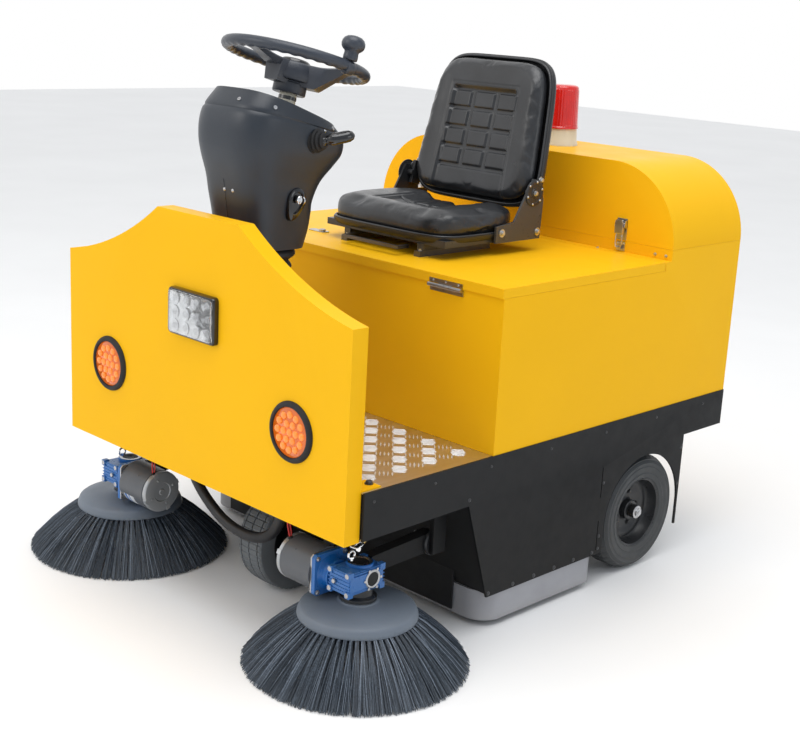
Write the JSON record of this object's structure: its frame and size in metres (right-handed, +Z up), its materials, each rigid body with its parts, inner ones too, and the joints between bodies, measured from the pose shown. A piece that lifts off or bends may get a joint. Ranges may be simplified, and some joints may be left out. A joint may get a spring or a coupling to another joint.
{
  "type": "ride-on sweeper",
  "caption": "Ride-on floor sweeper: yellow folded body on a black chassis, driver's seat and wheel, side brushes, main brush, hopper with beacon.",
  "frame": {"origin": "centre of the machine's footprint on the floor", "axes": "+Z up, +Y to the machine's rear, +X to the machine's left side"},
  "size_m": [1.3484, 1.5047, 1.3065],
  "materials": {
    "yellow_paint": "gloss",
    "black_paint": "satin",
    "chequer_aluminium": "rolled",
    "zinc_steel": "satin",
    "steel_plain": "satin",
    "chrome_trim": "polished",
    "blue_casting": "gloss",
    "motor_grey": "satin",
    "cream_paint": "gloss",
    "black_plastic": "satin",
    "wheel_plastic": "satin",
    "gloss_black": "gloss",
    "amber_lens": "gloss",
    "clear_lens": "clear",
    "red_lens": "gloss",
    "black_leather": "grained",
    "seat_shell": "satin",
    "black_rubber": "matte",
    "grey_rubber": "matte",
    "tyre_black": "worn",
    "tyre_grey": "dusty",
    "bristle": "fibrous",
    "conduit_black": "satin",
    "battery_case": "satin",
    "fan_grey": "satin"
  },
  "bodies": {
    "chassis": {"chassis_frame": "black_paint", "side_plate_left": "black_paint", "side_plate_right": "black_paint", "floor_plate": "chequer_aluminium", "front_panel": "yellow_paint", "body_box": "yellow_paint", "brush_chamber": "black_paint", "rubber_skirt": "grey_rubber", "headlight_housing": "gloss_black", "headlight_lens": "clear_lens", "turn_lamp_bezels": "black_rubber", "turn_lamp_lenses": "amber_lens", "steering_tube": "cream_paint", "column_cowl": "black_plastic", "column_bellows": "black_rubber", "hinge_fixed_leaves": "zinc_steel", "batteries": "battery_case", "suction_fan": "fan_grey", "wiring_conduit": "conduit_black", "pedal_brackets": "black_paint"},
    "lid": {"seat_lid": "yellow_paint", "lid_hinge_leaves": "zinc_steel", "seat_rails": "steel_plain"},
    "seat": {"seat_pan": "seat_shell", "seat_cushion": "black_leather"},
    "slide_handle": {"slide_lever": "steel_plain"},
    "backrest": {"backrest_shell": "seat_shell", "backrest_pad": "black_leather"},
    "recline_handle": {"recline_lever": "gloss_black"},
    "cover": {"hopper_cover": "yellow_paint", "cover_hinge_leaves": "zinc_steel", "beacon_base": "cream_paint", "beacon_lens": "red_lens"},
    "toggle_left": {"latch_left": "zinc_steel"},
    "toggle_right": {"latch_right": "zinc_steel"},
    "steering": {"steering_wheel": "wheel_plastic", "steering_shaft": "cream_paint"},
    "knob": {"spinner_knob": "wheel_plastic"},
    "fork": {"drive_fork": "black_paint", "drive_motor": "motor_grey"},
    "front_wheel": {"drive_wheel": "tyre_grey"},
    "rear_wheel_left": {"rear_tyre_left": "tyre_black", "rear_rim_left": "black_paint"},
    "rear_wheel_right": {"rear_tyre_right": "tyre_black", "rear_rim_right": "black_paint"},
    "arm_left": {"brush_arm_left": "black_paint", "reducer_left": "blue_casting", "brush_motor_left": "motor_grey"},
    "arm_right": {"brush_arm_right": "black_paint", "reducer_right": "blue_casting", "brush_motor_right": "motor_grey"},
    "brush_left": {"side_brush_left": "bristle"},
    "brush_right": {"side_brush_right": "bristle"},
    "roller_carrier": {"main_brush_carrier": "black_paint"},
    "roller": {"main_brush": "bristle"},
    "bin": {"dust_bin": "black_paint"},
    "accelerator": {"accelerator_pedal": "black_rubber"},
    "brake": {"brake_pedal": "black_rubber"},
    "direction": {"direction_lever": "gloss_black"},
    "key": {"ignition_key": "chrome_trim"}
  },
  "joints": [
    {"name": "steering_turn", "type": "hinge", "parent": "chassis", "child": "steering", "pos_m": [0, -0.3559, 1.246], "axis": [0, 0.2639, 0.9646], "range_deg": [-180, 180]},
    {"name": "knob_spin", "type": "hinge", "parent": "steering", "child": "knob", "pos_m": [0.15541, -0.33925, 1.25534], "axis": [0, 0.2639, 0.9646], "continuous": true},
    {"name": "fork_turn", "type": "hinge", "parent": "chassis", "child": "fork", "pos_m": [0.022, -0.3519, 0.125], "axis": [0, 0, 1], "range_deg": [-60, 60]},
    {"name": "drive_roll", "type": "hinge", "parent": "fork", "child": "front_wheel", "pos_m": [0.022, -0.3519, 0.125], "axis": [1, 0, 0], "continuous": true},
    {"name": "rear_roll_left", "type": "hinge", "parent": "chassis", "child": "rear_wheel_left", "pos_m": [0.46, 0.4111, 0.1505], "axis": [1, 0, 0], "continuous": true},
    {"name": "rear_roll_right", "type": "hinge", "parent": "chassis", "child": "rear_wheel_right", "pos_m": [-0.46, 0.4111, 0.1505], "axis": [1, 0, 0], "continuous": true},
    {"name": "arm_lift_left", "type": "hinge", "parent": "chassis", "child": "arm_left", "pos_m": [0.4247, -0.2729, 0.216], "axis": [-1, 0, 0], "range_deg": [0, 12]},
    {"name": "arm_lift_right", "type": "hinge", "parent": "chassis", "child": "arm_right", "pos_m": [-0.4247, -0.2729, 0.216], "axis": [-1, 0, 0], "range_deg": [0, 12]},
    {"name": "brush_spin_left", "type": "hinge", "parent": "arm_left", "child": "brush_left", "pos_m": [0.4247, -0.5029, 0.17], "axis": [0, 0, 1], "continuous": true},
    {"name": "brush_spin_right", "type": "hinge", "parent": "arm_right", "child": "brush_right", "pos_m": [-0.4247, -0.5029, 0.17], "axis": [0, 0, 1], "continuous": true},
    {"name": "roller_lift", "type": "hinge", "parent": "chassis", "child": "roller_carrier", "pos_m": [0, 0.1761, 0.27], "axis": [-1, 0, 0], "range_deg": [0, 5]},
    {"name": "roller_spin", "type": "hinge", "parent": "roller_carrier", "child": "roller", "pos_m": [0, 0.0161, 0.15], "axis": [1, 0, 0], "continuous": true},
    {"name": "lid_open", "type": "hinge", "parent": "chassis", "child": "lid", "pos_m": [0, -0.1969, 0.777], "axis": [1, 0, 0], "range_deg": [0, 40]},
    {"name": "seat_slide", "type": "slide", "parent": "lid", "child": "seat", "axis": [0, 1, 0], "range_m": [-0.04, 0.04]},
    {"name": "slide_handle_lift", "type": "hinge", "parent": "seat", "child": "slide_handle", "pos_m": [0.015, -0.0789, 0.822], "axis": [-1, 0, 0], "range_deg": [0, 8], "stiffness_Nm_per_rad": 0.4, "springref_deg": -20.05},
    {"name": "seat_recline", "type": "hinge", "parent": "seat", "child": "backrest", "pos_m": [0.015, 0.2231, 0.946], "axis": [-1, 0, 0], "range_deg": [-2, 15]},
    {"name": "recline_handle_lift", "type": "hinge", "parent": "seat", "child": "recline_handle", "pos_m": [-0.197, 0.2441, 0.89], "axis": [1, 0, 0], "range_deg": [0, 25], "stiffness_Nm_per_rad": 0.6, "springref_deg": -20.05},
    {"name": "cover_open", "type": "hinge", "parent": "chassis", "child": "cover", "pos_m": [0, 0.7479, 0.8292], "axis": [-1, 0, 0], "range_deg": [0, 75]},
    {"name": "toggle_left_open", "type": "hinge", "parent": "cover", "child": "toggle_left", "pos_m": [0.352, 0.4281, 0.872], "axis": [-1, 0, 0], "range_deg": [0, 60]},
    {"name": "toggle_right_open", "type": "hinge", "parent": "cover", "child": "toggle_right", "pos_m": [-0.352, 0.4281, 0.872], "axis": [-1, 0, 0], "range_deg": [0, 60]},
    {"name": "bin_slide", "type": "slide", "parent": "chassis", "child": "bin", "axis": [0, 1, 0], "range_m": [0, 0.45]},
    {"name": "accelerator_press", "type": "hinge", "parent": "chassis", "child": "accelerator", "pos_m": [-0.122, -0.4589, 0.446], "axis": [1, 0, 0], "range_deg": [0, 12], "stiffness_Nm_per_rad": 2, "springref_deg": -28.65},
    {"name": "brake_press", "type": "hinge", "parent": "chassis", "child": "brake", "pos_m": [0.122, -0.4589, 0.446], "axis": [1, 0, 0], "range_deg": [0, 12], "stiffness_Nm_per_rad": 4, "springref_deg": -22.92},
    {"name": "direction_shift", "type": "hinge", "parent": "chassis", "child": "direction", "pos_m": [0.134, -0.3859, 1.083], "axis": [0, 0, 1], "range_deg": [-15, 15]},
    {"name": "key_turn", "type": "hinge", "parent": "chassis", "child": "key", "pos_m": [0.1035, -0.4269, 0.954], "axis": [1, 0, 0], "range_deg": [0, 90]}
  ],
  "couplings": [
    {"joint": "fork_turn", "follows": "steering_turn", "ratio": 0.33333}
  ]
}
